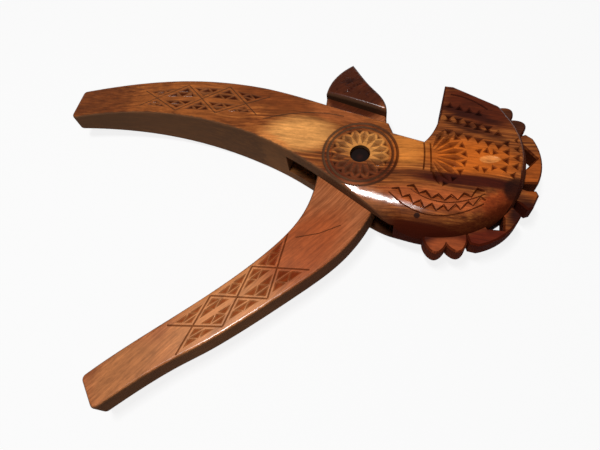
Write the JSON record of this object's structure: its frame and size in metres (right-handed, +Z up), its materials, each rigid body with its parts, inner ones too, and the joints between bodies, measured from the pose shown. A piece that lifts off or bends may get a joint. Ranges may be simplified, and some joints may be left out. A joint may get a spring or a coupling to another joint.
{
  "type": "lever nutcracker",
  "caption": "Hand-carved wooden lever nutcracker: a curved block with a hooked head and pierced crest, and a lever with a jaw pinned in its mortise.",
  "frame": {"origin": "on the axis of the pivot pin, at the level of the block's lower face, which is the surface it lies on", "axes": "+Z up along the pivot pin; the fixed handle runs to -X and the head to +X; the nut mouth opens to +Y; the lever is in its open position"},
  "size_m": [0.2477, 0.1973, 0.028],
  "materials": {
    "carved_wood": "varnished, dark bands in the grain",
    "lever_wood": "varnished, slightly darker",
    "pin_wood": "dark hardwood end grain"
  },
  "bodies": {
    "body": {"body": "carved_wood", "pivot_pin": "pin_wood"},
    "lever": {"lever": "lever_wood"}
  },
  "joints": [
    {"name": "lever_hinge", "type": "hinge", "parent": "body", "child": "lever", "pos_m": [0, 0, 0.014], "axis": [0, 0, 1], "range_deg": [-47, 8]}
  ]
}
